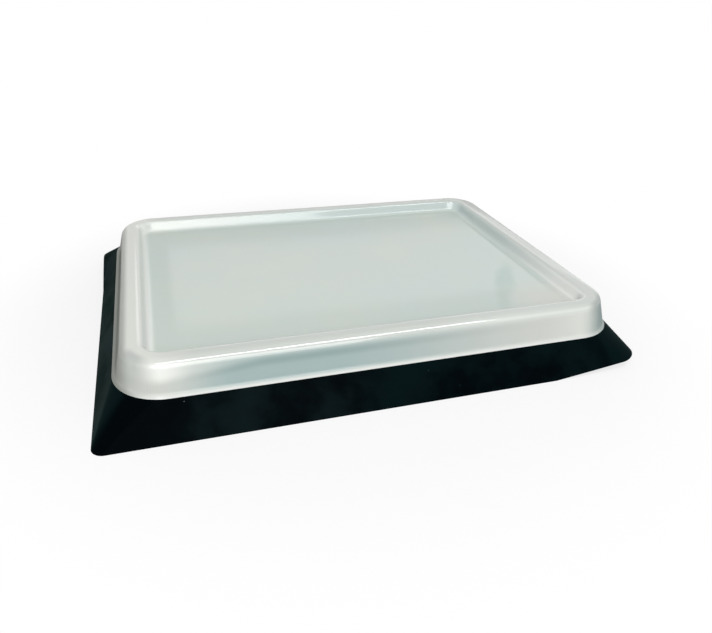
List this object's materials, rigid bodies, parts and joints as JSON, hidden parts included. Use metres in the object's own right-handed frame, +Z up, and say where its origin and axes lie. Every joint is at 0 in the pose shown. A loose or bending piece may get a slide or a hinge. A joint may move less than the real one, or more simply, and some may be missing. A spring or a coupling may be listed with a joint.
{
  "type": "wet palette",
  "caption": "Shallow rectangular wet palette: flared thin-walled tray with a lift-off ridged translucent lid, holding a flat sponge and a palette paper that keep paint moist.",
  "frame": {"origin": "on the table, under the middle of the tray", "axes": "+X along the long sides, to the right; +Y from the front to the back; +Z up"},
  "size_m": [0.2156, 0.1656, 0.0253],
  "materials": {
    "tray_plastic": "black gloss",
    "lid_plastic": "milky translucent gloss",
    "sponge": "open-cell sponge",
    "paper": "smooth matt"
  },
  "bodies": {
    "tray": {"base_tray": "tray_plastic"},
    "sponge": {"sponge": "sponge"},
    "paper": {"palette_paper": "paper"},
    "lid": {"lid": "lid_plastic"}
  },
  "joints": [
    {"name": "sponge_lift", "type": "slide", "parent": "tray", "child": "sponge", "axis": [0, 0, 1], "range_m": [0, 0.06]},
    {"name": "paper_lift", "type": "slide", "parent": "sponge", "child": "paper", "axis": [0, 0, 1], "range_m": [0, 0.06]},
    {"name": "lid_lift", "type": "slide", "parent": "paper", "child": "lid", "axis": [0, 0, 1], "range_m": [0, 0.08]}
  ]
}
